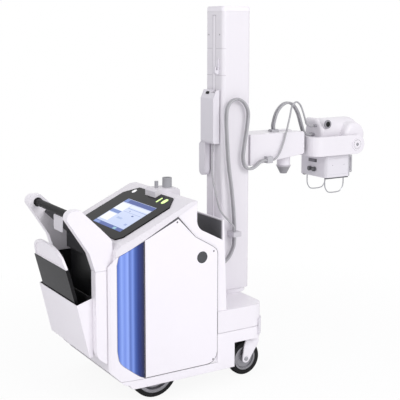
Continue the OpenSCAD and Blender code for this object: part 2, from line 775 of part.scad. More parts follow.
module tube_housing() color("white") placed() difference() {
    union() {
        translate([0, 0, housing_z]) rotate([0, 90, 0]) rotate_extrude() polygon(concat(
            [[0, housing_x0]], arc([housing_r - 18, housing_x0 + 18], 18, 270, 360, 4),
            arc([0, nose_x - housing_r], housing_r, 0, 90, 8)));
        translate([beam_x, 0, port_z0]) cylinder(r = port_r, h = housing_z - port_z0);
        rod_y(socket_x, socket_z, socket_r, -84, 84);
        both_sides() translate([boss_x, 0, boss_z]) rotate([-90, 0, 0]) rotate_extrude() polygon(concat(
            [[0, 0], [boss_r, 0], [boss_r, boss_y1 - 24]],
            arc([boss_r - 24, boss_y1 - 24], 24, 0, 90, 4), [[0, boss_y1]]));
    }
    both_sides() rod_y(tilt_x, head_z, tilt_pin_r + fit, boss_y1 - 19, boss_y1 + 1);
}

// The sockets' dark end caps and the cable glands on the housing's rear face
gland_l = 18;
module tube_sockets() color("black") placed() {
    both_sides() rod_y(socket_x, socket_z, socket_r - 3, 84, 90);
    both_sides() rod_x(9, 1212, 8.5, housing_x0 - gland_l, housing_x0);
    rod_x(-28, 1262, 8, housing_x0 - gland_l, housing_x0);
}

/* Collimator */

collimator_z1 = 1094;
collar_r = 58;

module collimator() color("lightgray") placed() {
    upright(collimator_z, collimator_z1) polygon(rounded(
        beam_x - collimator_l / 2, -collimator_w / 2, beam_x + collimator_l / 2, collimator_w / 2, 16));
    translate([beam_x, 0, collimator_z1]) cylinder(r = collar_r, h = port_z0 - collimator_z1 - seat);
}

module collimator_controls() color("black") placed() {
    x0 = beam_x - collimator_l / 2;
    box(x0 - 3, x0, -35, 35, 1052, 1070);
    rod_x(18, 1012, 13, x0 - 16, x0);
    rod_x(-20, 1012, 13, x0 - 16, x0);
    both_sides() box(beam_x - 80, beam_x + 80, 92, 108, collimator_z - 8, collimator_z);
}

// Bent wire between points
module wire(points, r) {
    for (i = [0:len(points) - 2]) {
        a = points[i];
        b = points[i + 1];
        d = b - a;
        translate(a) rotate([0, acos(d[2] / norm(d)), atan2(d[1], d[0])])
            cylinder(r = r, h = norm(d), $fn = 16);
    }
    for (i = [1:len(points) - 2]) translate(points[i]) sphere(r = r, $fn = 16);
}

loop_r = 3.2;
loop_y = 80;
loop_half_l = 68;
loop_drop = 91;
module guard_loops() color("gray") placed() for (y = [-loop_y, loop_y])
    hose([for (p = [[-1, 0], [-1, 48], [-0.85, 74], [-0.5, loop_drop], [0.5, loop_drop], [0.85, 74],
        [1, 48], [1, 0]]) [beam_x + p[0] * loop_half_l, y, collimator_z - p[1]]], loop_r);

module grab_handles() color("silver") placed() both_sides() {
    x1 = beam_x + collimator_l / 2;
    wire([[x1, -76, 1080], [x1 + 34, -76, 1080], [x1 + 34, -76, 990], [x1, -76, 990]], 7);
}

/* Hoses */

// Collar where the hoses leave the cabinet's sloping front wall
outlet_y = -112;
outlet_z = 556;
outlet_x = cabinet_front + 26;
module hose_outlet() color("gray") placed() difference() {
    rod_x(outlet_y, outlet_z, 24, cabinet_front - 10, outlet_x);
    across(-half_w, half_w) polygon([[cabinet_front - 50, front_wall_top],
        [cabinet_front - 2, front_wall_top], [cabinet_front + 14, platform_z],
        [cabinet_front - 50, platform_z]]);
}

// Routes, each a few points in the layout's own frame
riser_route = [[426.3, -112, 556], [456, -112, 556], [512, -112, 564], [562, -112, 598],
    [592, -112, 650], [598, -112, 685], [598, -112, 711.7]];
lift_route = [[598, -112, 738.3], [598, -112, 770], [590, -112, 880], [575, -112, 1000],
    [560, -112, 1100], [548, -112, 1250], [545, -112, 1370], [566, -112, 1424],
    [612, -112, 1444], [654, -112, 1424], [680, -112, 1380], [680, -112, 1320],
    [662, -112, 1210], [652, -112, 1130], [670, -112, 1076], [716, -106, 1066],
    [772, -98, 1094], [792, -96, 1102], [814.7, -96, 1102]];
control_route = [[512, -35, 1206], [512, -35, 1180], [500, -42, 1130], [492, -60, 1040],
    [498, -85, 950], [512, -106, 860], [552, -132, 800], [582, -134, 765], [582, -134, 738.3]];
head_route = [[932, 0, 1256.3], [932, 0, 1285], [952, 0, 1345], [988, 0, 1386], [1030, 0, 1400],
    [1070, 0, 1384], [1104, 0, 1335], [1126, 0, 1275], [1146, 0, 1226], [1172, 0, 1212],
    [1196.7, 0, 1212]];
cable_route = [[850.3, -96, 1102], [872, -96, 1102], [904, -95, 1130], [932, -94, 1186],
    [958, -90, 1258], [988, -76, 1328], [1016, -60, 1386], [1056, -48, 1406], [1092, -40, 1382],
    [1120, -34, 1330], [1144, -28, 1280], [1172, -28, 1262], [1196.7, -28, 1262]];
hose_r = 6.5;
thin_r = 5;

// Points of a smooth line through a route, with its ends repeated
function smooth(route, steps) = let (p = concat([2 * route[0] - route[1]], route,
        [2 * route[len(route) - 1] - route[len(route) - 2]]))
    concat([for (i = [1:len(p) - 3]) for (k = [0:steps - 1]) let (t = k / steps)
        0.5 * (2 * p[i] + (p[i + 1] - p[i - 1]) * t
            + (2 * p[i - 1] - 5 * p[i] + 4 * p[i + 1] - p[i + 2]) * t * t
            + (3 * p[i] - p[i - 1] - 3 * p[i + 1] + p[i + 2]) * t * t * t)],
        [route[len(route) - 1]]);

function unit(v) = v / norm(v);

// Tube swept along a route: every ring lies square to the line, turned from the Y axis
module hose(route, r, steps = 3, sides = 8) {
    line = smooth(route, steps);
    last = len(line) - 1;
    end = len(route) - 1;
    rings = [for (i = [0:last])
        let (d = i == 0 ? unit(route[1] - route[0]) : i == last ? unit(route[end] - route[end - 1])
                : unit(line[i + 1] - line[i - 1]),
             u = unit(cross(d, [0, 1, 0])), v = cross(d, u))
        for (k = [0:sides - 1]) line[i] + r * (u * cos(360 * k / sides) + v * sin(360 * k / sides))];
    sides_faces = [for (i = [0:last - 1]) for (k = [0:sides - 1]) let (n = (k + 1) % sides)
        [i * sides + k, (i + 1) * sides + k, (i + 1) * sides + n, i * sides + n]];
    ends = [[for (k = [0:sides - 1]) k], [for (k = [sides - 1:-1:0]) last * sides + k]];
    polyhedron(points = rings, faces = concat(sides_faces, ends));
}

module hose_pair(route, gap) {
    for (side = [right, left]) translate([0, side * gap / 2, 0]) hose(route, hose_r);
}

module riser_hoses() color("darkgray") placed() hose_pair(riser_route, 15);
module lift_hoses() color("darkgray") placed() hose_pair(lift_route, 15);
module control_hose() color("darkgray") placed() hose(control_route, thin_r);
module head_hoses() color("darkgray") placed() hose_pair(head_route, 18);
module head_cable() color("darkgray") placed() hose(cable_route, thin_r);

chassis_frame();
power_block();
drive_axle();
skirt();
base_platform();
front_bumper();
cabinet();
side_panels();
corner_panels();
rear_pillars();
handle_arms();
handle_bar();
handle_bridge();
console();
display();
docking_pod();
docking_cups();
storage_liner();
detector_bin();
detector();
detector_handle();
column_foot();
hose_outlet();
drive_rim(right);  // drive_rim_right
drive_rim(left);  // drive_rim_left
drive_tyre(right);  // drive_tyre_right
drive_tyre(left);  // drive_tyre_left
caster_fork(right);  // caster_fork_right
caster_fork(left);  // caster_fork_left
caster_rim(right);  // caster_rim_right
caster_rim(left);  // caster_rim_left
caster_tyre(right);  // caster_tyre_right
caster_tyre(left);  // caster_tyre_left
column();
column_cap();
column_hook();
hose_clip();
carriage();
carriage_cover();
arm_outer();
arm_gland();
docking_cone();
arm_stage_1();
arm_stage_2();
hose_saddle();
yoke_bearing();
yoke();
tilt_scales();
tube_housing();
tube_sockets();
collimator();
collimator_controls();
guard_loops();
grab_handles();
riser_hoses();
lift_hoses();
control_hose();
head_hoses();
head_cable();
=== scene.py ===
import json
import math

import bmesh
import bpy
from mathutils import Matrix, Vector


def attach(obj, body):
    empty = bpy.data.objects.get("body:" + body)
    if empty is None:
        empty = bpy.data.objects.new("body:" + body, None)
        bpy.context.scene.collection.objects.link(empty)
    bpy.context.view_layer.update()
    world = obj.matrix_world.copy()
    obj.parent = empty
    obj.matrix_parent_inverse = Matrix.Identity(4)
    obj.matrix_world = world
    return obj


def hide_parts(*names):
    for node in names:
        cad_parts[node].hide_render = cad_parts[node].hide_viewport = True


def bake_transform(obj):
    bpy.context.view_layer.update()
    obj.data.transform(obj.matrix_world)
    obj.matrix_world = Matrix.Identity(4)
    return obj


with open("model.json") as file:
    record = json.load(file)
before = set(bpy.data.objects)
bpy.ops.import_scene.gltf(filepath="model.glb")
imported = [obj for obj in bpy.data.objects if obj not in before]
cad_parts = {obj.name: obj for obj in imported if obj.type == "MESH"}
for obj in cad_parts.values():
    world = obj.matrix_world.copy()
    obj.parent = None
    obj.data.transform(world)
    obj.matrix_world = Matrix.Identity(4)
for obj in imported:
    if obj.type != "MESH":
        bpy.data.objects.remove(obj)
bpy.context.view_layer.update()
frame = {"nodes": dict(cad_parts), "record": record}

# Places are given in the layout's millimetres, as the construction has them: X from just behind the drive axle,
# Y from the centre line, Z from the floor.
SHIFT = -547.5

WHITE = (0.895, 0.862, 0.912)
PALE = (0.760, 0.735, 0.785)
# Dark grey for the painted shade along the seams between panels
SEAM_SHADE = (0.085, 0.08, 0.09)

# The console's slope, and the height of its lower seam at X = 0
SEAM_Z = 838.0
TILT = math.radians(24.8)
DISPLAY_FOOT = (-161, 802.3)
DISPLAY_THICK = 6
SCREEN_LEFT, SCREEN_RIGHT = 127.0, -178.0
SCREEN_Z0, SCREEN_Z1 = 829.0, 924.5

# Places in X and Z
DRIVE_AXLE = (20, 127)
CASTER_AXLE = (565, 90)
TILT_PIVOT = (1416, 1156)
BEAM_X = 1310
PANEL_DISC = (265, 685)
PANEL_SCREWS = ((122, 878), (333, 708), (330, 148))
# X where the side panel's outline bends inwards, so that its two halves are convex
PANEL_BEND = 227
# How far in from the side panel's outline its painted seam shade reaches, in millimetres
GAP = 2.2

HOSE_RADIUS = 0.0065
CABLE_RADIUS = 0.005


def at(x, y, z):
    return Vector(((x + SHIFT) / 1000, y / 1000, z / 1000))


def keep(obj):
    bpy.context.scene.collection.objects.link(obj)
    return obj


# Camera

def make_camera():
    camera = keep(bpy.data.objects.new("camera", bpy.data.cameras.new("camera")))
    camera.location = at(-2021.5, -3990.5, 1798.5)
    camera.rotation_euler = (math.radians(90 - 7.09), 0, math.radians(-31.08))
    camera.data.lens = 80.28
    camera.data.sensor_width = 36
    camera.data.shift_x = 0.0275
    camera.data.shift_y = -0.145
    camera.data.clip_end = 60
    bpy.context.scene.camera = camera


make_camera()


# Shader expressions

class Value:
    """What a node's output carries. An expression on it adds Math nodes."""

    def __init__(self, finish, socket):
        self.finish = finish
        self.socket = socket

    def math(self, operation, *others):
        return self.finish.add("Math", {"operation": operation}, dict(enumerate((self,) + others)))

    def __add__(self, other):
        return self.math("ADD", other)

    def __sub__(self, other):
        return self.math("SUBTRACT", other)

    def __rsub__(self, other):
        return self.finish.add("Math", {"operation": "SUBTRACT"}, {0: other, 1: self})

    def __mul__(self, other):
        return self.math("MULTIPLY", other)

    def __truediv__(self, other):
        return self.math("DIVIDE", other)

    def __gt__(self, other):
        return self.math("GREATER_THAN", other)

    def __lt__(self, other):
        return self.math("LESS_THAN", other)

    def __abs__(self):
        return self.math("ABSOLUTE")

    __radd__ = __add__
    __rmul__ = __mul__


class Finish:
    """One procedural material, with its constants on the shader's own sockets."""

    def __init__(self, name, **constants):
        self.material = bpy.data.materials.new(name)
        self.material.use_nodes = True
        self.tree = self.material.node_tree
        self.shader = self.tree.nodes["Principled BSDF"]
        self.spot = self.add("TexCoord", output="Object")
        for key, value in constants.items():
            self.set(key.replace("_", " ").title().replace("Ior", "IOR"), value)

    def add(self, kind, settings=None, inputs=None, output=0):
        node = self.tree.nodes.new("ShaderNode" + kind)
        for key, value in (settings or {}).items():
            if key == "stops":
                self.stops(node.color_ramp, value)
            else:
                setattr(node, key, value)
        for key, value in (inputs or {}).items():
            self.plug(node.inputs[key], value)
        return Value(self, node.outputs[output])

    def stops(self, ramp, stops):
        for element, (position, colour) in zip(ramp.elements, (stops[0], stops[-1])):
            element.position = position
            element.color = (*colour, 1)
        for position, colour in stops[1:-1]:
            ramp.elements.new(position).color = (*colour, 1)

    def plug(self, socket, value):
        if isinstance(value, Value):
            self.tree.links.new(value.socket, socket)
        elif isinstance(value, tuple) and len(value) == 3 and socket.type == "RGBA":
            socket.default_value = (*value, 1)
        else:
            socket.default_value = value

    def set(self, name, value):
        self.plug(self.shader.inputs[name], value)

    def place(self):
        """X, Y and Z in the layout's millimetres."""
        metres = [self.add("SeparateXYZ", None, {0: self.spot}, axis) for axis in "XYZ"]
        return metres[0] * 1000 - SHIFT, metres[1] * 1000, metres[2] * 1000

    def noise(self, scale, detail=2.0, stretch=None):
        vector = self.spot
        if stretch:
            vector = self.add("Mapping", None, {"Vector": self.spot, "Scale": stretch})
        return self.add("TexNoise", None, {"Vector": vector, "Scale": scale, "Detail": detail})

    def mix(self, share, low, high):
        node = self.tree.nodes.new("ShaderNodeMix")
        node.data_type = "RGBA"
        colours = [socket for socket in node.inputs if socket.type == "RGBA"]
        self.plug(node.inputs[0], share)
        self.plug(colours[0], low)
        self.plug(colours[1], high)
        return Value(self, next(socket for socket in node.outputs if socket.type == "RGBA"))

    def faded(self, share):
        """The white of the machine, clouded with a slightly darker one."""
        return self.mix(self.noise(5, 2), shade(WHITE, share), WHITE)

    def ramp(self, value, stops):
        return self.add("ValToRGB", {"stops": stops}, {"Fac": value})

    def relief(self, height, strength, distance, edge=0.0):
        inputs = {"Height": height, "Strength": strength, "Distance": distance}
        if edge:
            inputs["Normal"] = self.add("Bevel", {"samples": 4}, {"Radius": edge})
        self.set("Normal", self.add("Bump", None, inputs))

    def spot_mask(self, a, b, centre, radius):
        da, db = a - centre[0], b - centre[1]
        return da * da + db * db < radius * radius

    def band_mask(self, value, low, high):
        return (value > low) * (value < high)

    def depth(self, a, b, outline):
        """Distance inwards from the sides between the points of a convex outline, given anticlockwise."""
        least = None
        for (a0, b0), (a1, b1) in zip(outline, outline[1:]):
            run = math.hypot(a1 - a0, b1 - b0)
            ka, kb = -(b1 - b0) / run, (a1 - a0) / run
            side = a * ka + b * kb - (ka * a0 + kb * b0)
            least = side if least is None else least.math("MINIMUM", side)
        return least


def shade(colour, factor):
    return tuple(channel * factor for channel in colour)


# Finishes, one for each surface that the machine has

def moulded(name, colour, roughness=0.42, grain=2600, edge=0.0025, strength=0.05):
    """Moulded or powder-coated surface with fine grain, soft edges and a faint cast."""
    finish = Finish(name)
    finish.set("Specular IOR Level", 0.4 if max(colour) > 0.1 else 0.14)
    cast = finish.noise(5, 2)
    finish.set("Base Color", finish.mix(cast, shade(colour, 0.965), colour))
    finish.set("Roughness", roughness - 0.05 + 0.1 * finish.noise(14, 3))
    finish.relief(finish.noise(grain, 1), strength, 0.0004, edge)
    return finish


def enamel(name, colour, roughness=0.3, edge=0.003):
    """Smooth sprayed enamel with a little orange peel."""
    finish = moulded(name, colour, roughness, 420, edge, 0.035)
    finish.set("Coat Weight", 0.25)
    finish.set("Coat Roughness", 0.16)
    return finish


def metal(name, colour, roughness, stretch, edge=0.0015):
    """Metal with brushing along one direction."""
    finish = Finish(name, metallic=1.0)
    lines = finish.noise(60, 4, stretch)
    finish.set("Base Color", finish.mix(lines, shade(colour, 0.86), colour))
    finish.set("Roughness", roughness - 0.06 + 0.14 * lines)
    finish.relief(lines, 0.06, 0.0003, edge)
    return finish


def arc(centre, radius, start, end, count):
    return [(centre[0] + radius * math.cos(math.radians(start + (end - start) * k / count)),
             centre[1] + radius * math.sin(math.radians(start + (end - start) * k / count)))
            for k in range(count + 1)]


def seam_at(x):
    return SEAM_Z + x * math.tan(TILT)


def side_panel_finish():
    """Enamelled panel with its flush screws and the bare dark disc; painted shade darkens the screws' sockets and a
    line along the seam round the panel's outline.
    """
    finish = Finish("side_panel_enamel", coat_weight=0.25, coat_roughness=0.16)
    x, _, z = finish.place()
    white = finish.faded(0.97)
    heads, shaded_sockets = (sum((finish.spot_mask(x, z, place, radius) for place in PANEL_SCREWS[1:]),
                        finish.spot_mask(x, z, PANEL_SCREWS[0], radius)) for radius in (4.6, 2.0))
    disc = finish.spot_mask(x, z, PANEL_DISC, 30)
    inner = finish.spot_mask(x, z, PANEL_DISC, 26)
    painted = finish.mix(heads, white, (0.16, 0.15, 0.17))
    # painted shade: the sockets in the screw heads are near black
    painted = finish.mix(shaded_sockets, painted, (0.02, 0.02, 0.02))
    painted = finish.mix(disc, painted, (0.035, 0.036, 0.042))
    bend = (PANEL_BEND, 793)
    rear = [bend, (129, seam_at(129) - 2), (-58, seam_at(-58) - 2), (-58, 127), (PANEL_BEND, 127)]
    front = ([(PANEL_BEND, 127)] + arc((297, 187), 60, -90, 0, 4) + arc((315, 692), 42, 0, 50, 3)
             + [(322, 738), bend])
    # painted shade: a dark line just inside the panel's outline, where the seam's shadow falls
    shaded_seam = ((finish.depth(x, z, rear) < GAP) * (x < PANEL_BEND)
           + (finish.depth(x, z, front) < GAP) * (x > PANEL_BEND)).math("MINIMUM", 1.0)
    painted = finish.mix(shaded_seam, painted, SEAM_SHADE)
    finish.set("Base Color", finish.mix(inner * 0.5, painted, (0.06, 0.062, 0.07)))
    finish.set("Roughness", 0.3 + 0.1 * finish.noise(14, 3) - 0.1 * disc)
    finish.relief(finish.noise(420, 1) * 0.04 - heads * 0.6 - shaded_sockets * 0.6 - (disc - inner) - shaded_seam, 0.5, 0.0006)
    return finish


def blue_panel_finish():
    """Deep gloss blue with painted reflections and shade, from sky blue at the rear to navy, with soft upright
    streaks, in a white moulded rim with painted seam shade.
    """
    finish = Finish("blue_panel_gloss")
    x, _, z = finish.place()
    along = (x + 200) / 140
    reflection_streaks = finish.noise(1.6, 1, (26, 26, 0.6)) * 0.07
    # painted reflections and shade: lighter and darker bands of blue along the panel, streaked upright
    colour = finish.ramp(along + reflection_streaks - 0.035, (
        (0.0, (0.045, 0.10, 0.40)), (0.07, (0.10, 0.18, 0.60)), (0.17, (0.26, 0.38, 0.87)),
        (0.27, (0.17, 0.27, 0.74)), (0.38, (0.28, 0.40, 0.90)), (0.46, (0.09, 0.16, 0.50)),
        (0.55, (0.19, 0.30, 0.78)), (0.66, (0.045, 0.10, 0.38)), (0.78, (0.010, 0.030, 0.19)),
        (1.0, (0.001, 0.003, 0.035))))
    outline = [(-58, 127), (-58, seam_at(-58) - 2), (-147, seam_at(-147) - 4), (-177, 752), (-189, 736),
               (-196, 700), (-197, 282), (-194, 257), (-190, 233), (-183, 218), (-167, 201), (-109, 156),
               (-86, 140), (-58, 127)]
    inside = finish.depth(x, z, outline)
    blue = inside > 0.8
    white = finish.faded(0.97)
    # painted shade: a dark line along the seam round the blue panel
    rim = finish.mix((inside > -1.4) * 0.7, white, SEAM_SHADE)
    finish.set("Base Color", finish.mix(blue, rim, colour))
    finish.set("Roughness", 0.36 - 0.20 * blue + 0.06 * finish.noise(20, 2))
    finish.set("Coat Weight", blue * 0.25)
    finish.set("Coat Roughness", 0.12)
    finish.set("Specular IOR Level", 0.35)
    finish.relief(finish.noise(300, 1) * 0.03 + blue, 0.3, 0.0004)
    return finish


def tyre_finish(name, axle, radius):
    """Soft rubber with shallow grooves round the tread, painted darker as shade, and a dusty wall."""
    finish = Finish(name, specular_ior_level=0.12)
    x, y, z = finish.place()
    dx, dz = x - axle[0], z - axle[1]
    reach = (dx * dx + dz * dz).math("SQRT")
    tread = reach > radius - 3
    shaded_groove = ((y * 0.42).math("SINE") > 0.75) * tread
    dust = finish.noise(40, 4) * 0.5 + finish.noise(9, 2) * 0.5
    rubber = finish.mix(dust, (0.010, 0.010, 0.011), (0.024, 0.024, 0.025))
    # painted shade: the grooves are darker than the rubber
    finish.set("Base Color", finish.mix(shaded_groove, rubber, (0.004, 0.004, 0.004)))
    finish.set("Roughness", 0.62 + 0.25 * dust)
    finish.relief(finish.noise(900, 2) * 0.2 - shaded_groove, 0.5, 0.0012, 0.002)
    return finish


def column_finish():
    """White coated column profile with its two fine joints and the screws near the top."""
    finish = Finish("column_coating", coat_weight=0.2, coat_roughness=0.2)
    x, y, z = finish.place()
    white = finish.mix(finish.noise(60, 3, (1, 1, 0.02)), shade(WHITE, 0.86), shade(WHITE, 0.89))
    rear = x < 560
    joints = (finish.band_mask(z, 1706, 1709) + finish.band_mask(z, 1566, 1569)) * rear
    screws = (finish.spot_mask(abs(y), z, (52, 1780), 4.5)) * rear
    colour = finish.mix(joints * 0.45, white, (0.35, 0.33, 0.36))
    finish.set("Base Color", finish.mix(screws, colour, (0.30, 0.29, 0.31)))
    finish.set("Roughness", 0.36 + 0.08 * finish.noise(18, 2))
    finish.relief(finish.noise(500, 1) * 0.05 - joints - screws, 0.4, 0.0005, 0.003)
    return finish


def dial_finish():
    """Machined disc with a ring of degree marks."""
    finish = Finish("dial_face", metallic=0.35)
    x, _, z = finish.place()
    dx, dz = x - TILT_PIVOT[0], z - TILT_PIVOT[1]
    reach = (dx * dx + dz * dz).math("SQRT")
    turn = dz.math("ARCTAN2", dx)
    marks = ((turn * 36).math("COSINE") > 0.72) * finish.band_mask(reach, 24, 29)
    long_marks = ((turn * 12).math("COSINE") > 0.95) * finish.band_mask(reach, 20, 29)
    ring = finish.band_mask(reach, 8, 9.5)
    ink = (marks + long_marks + ring).math("MINIMUM", 1.0)
    white = finish.mix(finish.noise(300, 2), shade(WHITE, 0.94), WHITE)
    finish.set("Base Color", finish.mix(ink, white, (0.13, 0.12, 0.14)))
    finish.set("Roughness", 0.38 + 0.1 * finish.noise(60, 2))
    finish.relief(finish.noise(800, 1) * 0.05 - ink, 0.2, 0.0004, 0.001)
    return finish


def collimator_finish():
    """Light grey housing with a fine outlined cover and two small fixings on each side."""
    finish = Finish("collimator_coating", coat_weight=0.1, coat_roughness=0.25)
    x, y, z = finish.place()
    side = abs(y) > 112
    u, v = abs(x - BEAM_X), abs(z - 1032)
    outline = ((u < 70) * (v < 46) - (u < 68.4) * (v < 44.4)) * side
    fixings = (finish.spot_mask(u, z, (42, 1040), 3) + finish.spot_mask(u, z, (42, 1040), 1.2)) * side
    edge = (abs(y) > 108) * (x < 1232)
    dark_end = (x > 1385) * side
    grey = finish.mix(finish.noise(6, 2), shade(PALE, 0.97), PALE)
    grey = finish.mix(dark_end * 0.85, grey, (0.42, 0.41, 0.44))
    grey = finish.mix(edge * 0.35, grey, (0.45, 0.44, 0.47))
    grey = finish.mix(outline * 0.4, grey, (0.40, 0.39, 0.42))
    finish.set("Base Color", finish.mix(fixings * 0.5, grey, (0.22, 0.22, 0.24)))
    finish.set("Roughness", 0.4 + 0.08 * finish.noise(16, 2))
    finish.relief(finish.noise(1500, 1) * 0.08 - outline - fixings, 0.3, 0.0005, 0.003)
    return finish


def cabinet_finish():
    """Moulded cabinet, white outside and black behind the detector."""
    finish = Finish("cabinet_moulding", coat_weight=0.12, coat_roughness=0.2)
    x, y, z = finish.place()
    white = finish.faded(0.97)
    behind = (x < -190) * (abs(y) < 222) * (z > 240)
    finish.set("Base Color", finish.mix(behind, white, (0.022, 0.022, 0.025)))
    finish.set("Roughness", 0.4 + 0.08 * finish.noise(14, 3))
    finish.relief(finish.noise(2200, 1), 0.05, 0.0004, 0.003)
    return finish


def pillar_finish():
    """Pillars of the rear end: white outside, black on the faces towards the middle."""
    finish = Finish("pillar_moulding", coat_weight=0.15, coat_roughness=0.2)
    y = finish.place()[1]
    white = finish.faded(0.97)
    finish.set("Base Color", finish.mix(abs(y) < 223, white, (0.012, 0.012, 0.014)))
    finish.set("Roughness", 0.36 + 0.08 * finish.noise(14, 3))
    finish.set("Specular IOR Level", 0.3)
    finish.relief(finish.noise(1800, 1), 0.05, 0.0004, 0.004)
    return finish


def two_tone(name, upper, lower, height, blend):
    """Moulded piece whose lower part is a darker grey."""
    finish = Finish(name)
    z = finish.place()[2]
    share = ((z - height) / blend).math("MAXIMUM", 0.0).math("MINIMUM", 1.0)
    finish.set("Base Color", finish.mix(share, lower, upper))
    finish.set("Roughness", 0.4 + 0.08 * finish.noise(20, 2))
    finish.relief(finish.noise(1500, 1), 0.05, 0.0004, 0.002)
    return finish


def bin_finish():
    """White moulded pocket with a black lining."""
    finish = Finish("bin_moulding", coat_weight=0.1, coat_roughness=0.25)
    x, y, z = finish.place()
    white = finish.mix(finish.noise(5, 2), shade(WHITE, 0.95), shade(WHITE, 0.99))
    front = z * -0.2340 - 254.0
    lining = (x > front + 2.5) * (abs(y) < 231.5) * (z > 253)
    finish.set("Base Color", finish.mix(lining, white, (0.02, 0.02, 0.022)))
    finish.set("Roughness", 0.42 + 0.08 * finish.noise(14, 3))
    finish.relief(finish.noise(2200, 1), 0.05, 0.0004, 0.002)
    return finish


def liner_finish():
    """Smooth grey lining, with painted light and shade that make it lighter towards the rear and the middle."""
    finish = Finish("liner_grey")
    _, y, z = finish.place()
    # painted light and shade across the lining
    share = (0.5 + y / 620 - (z - 790) / 600).math("MAXIMUM", 0.0).math("MINIMUM", 1.0)
    finish.set("Base Color", finish.mix(share, (0.14, 0.138, 0.148), (0.36, 0.36, 0.365)))
    finish.set("Roughness", 0.35 + 0.1 * finish.noise(30, 2))
    finish.set("Specular IOR Level", 0.3)
    finish.relief(finish.noise(900, 1), 0.05, 0.0004, 0.002)
    return finish


def screen_finish():
    """Lit screen with a header, a footer, entry boxes and rules."""
    finish = Finish("screen_glass", roughness=0.12, specular_ior_level=0.25)
    _, y, z = finish.place()
    across = (SCREEN_LEFT - y) / (SCREEN_LEFT - SCREEN_RIGHT)
    up = (z - SCREEN_Z0) / (SCREEN_Z1 - SCREEN_Z0)

    def area(x0, x1, y0, y1):
        return finish.band_mask(across, x0, x1) * finish.band_mask(up, y0, y1)

    picture = finish.ramp(up, ((0.0, (0.56, 0.65, 0.90)), (1.0, (0.66, 0.73, 0.94))))
    for box, colour in (
            ((0.0, 1.0, 0.87, 1.0), (0.045, 0.085, 0.33)), ((0.0, 0.12, 0.89, 0.98), (0.16, 0.26, 0.62)),
            ((0.36, 1.0, 0.76, 0.84), (0.80, 0.85, 0.98)), ((0.0, 0.33, 0.58, 0.84), (0.90, 0.93, 1.0)),
            ((0.0, 0.33, 0.47, 0.57), (0.16, 0.25, 0.58)), ((0.02, 0.31, 0.18, 0.45), (0.93, 0.95, 1.0)),
            ((0.36, 1.0, 0.715, 0.728), (0.20, 0.30, 0.62)), ((0.36, 0.96, 0.60, 0.61), (0.30, 0.38, 0.68)),
            ((0.42, 0.60, 0.34, 0.40), (0.42, 0.52, 0.80)), ((0.72, 0.78, 0.52, 0.56), (0.10, 0.16, 0.40)),
            ((0.50, 0.53, 0.64, 0.67), (0.10, 0.16, 0.40)), ((0.84, 0.92, 0.22, 0.28), (0.35, 0.44, 0.74)),
            ((0.0, 1.0, 0.0, 0.11), (0.06, 0.11, 0.38)), ((0.70, 0.80, 0.02, 0.09), (0.30, 0.55, 0.66)),
            ((0.0, 0.2, 0.02, 0.09), (0.22, 0.32, 0.66))):
        picture = finish.mix(area(*box), picture, colour)
    finish.set("Base Color", (0.01, 0.01, 0.012))
    finish.set("Emission Color", picture)
    finish.set("Emission Strength", 0.95)
    finish.relief(finish.noise(900, 1), 0.01, 0.0002)
    return finish


def lamp_finish(name, colour, strength):
    """Lit lamp lens, brighter at its middle."""
    finish = Finish(name, roughness=0.2)
    glow = finish.noise(30, 1)
    finish.set("Base Color", finish.mix(glow, shade(colour, 0.9), colour))
    finish.set("Emission Color", finish.mix(glow, shade(colour, 0.85), colour))
    finish.set("Emission Strength", strength)
    return finish


def hose_finish():
    """Grey cable jacket, faintly ribbed and mottled."""
    finish = Finish("hose_jacket", specular_ior_level=0.4)
    mottle = finish.noise(22, 3)
    finish.set("Base Color", finish.mix(mottle, (0.36, 0.355, 0.375), (0.46, 0.455, 0.475)))
    finish.set("Roughness", 0.46 + 0.12 * mottle)
    finish.relief(finish.noise(1300, 2), 0.12, 0.0005)
    return finish


black_gloss = moulded("black_glass", (0.010, 0.010, 0.011), 0.10, 900, 0.0012, 0.01)
black_gloss.set("Specular IOR Level", 0.10)
FINISHES = {
    "white_paint": enamel("white_enamel", WHITE),
    "white_cover": moulded("white_moulding", WHITE, 0.38),
    "grey_cover": moulded("pale_grey_moulding", PALE, 0.42),
    "dark_plastic": moulded("dark_moulding", (0.055, 0.055, 0.060), 0.5),
    "black_gloss": black_gloss,
    "blue_gloss": blue_panel_finish(),
    "steel_frame": enamel("dark_frame_paint", (0.045, 0.045, 0.050), 0.42),
    "machined": metal("machined_alloy", (0.60, 0.59, 0.62), 0.36, (0.05, 1, 1)),
    "column_alloy": enamel("arm_coating", shade(WHITE, 0.92), 0.34),
    "rim_alloy": metal("cast_rim", (0.36, 0.355, 0.38), 0.46, (1, 1, 1)),
    "bright_wire": metal("satin_wire", (0.50, 0.50, 0.53), 0.30, (1, 1, 0.1)),
    "tyre_black": tyre_finish("drive_tyre_rubber", DRIVE_AXLE, 127),
    "grip_rubber": moulded("black_grip", (0.014, 0.014, 0.015), 0.5, 1500, 0.002, 0.15),
    "hose_grey": hose_finish(),
    "dense_block": enamel("block_paint", (0.05, 0.05, 0.055), 0.5),
}
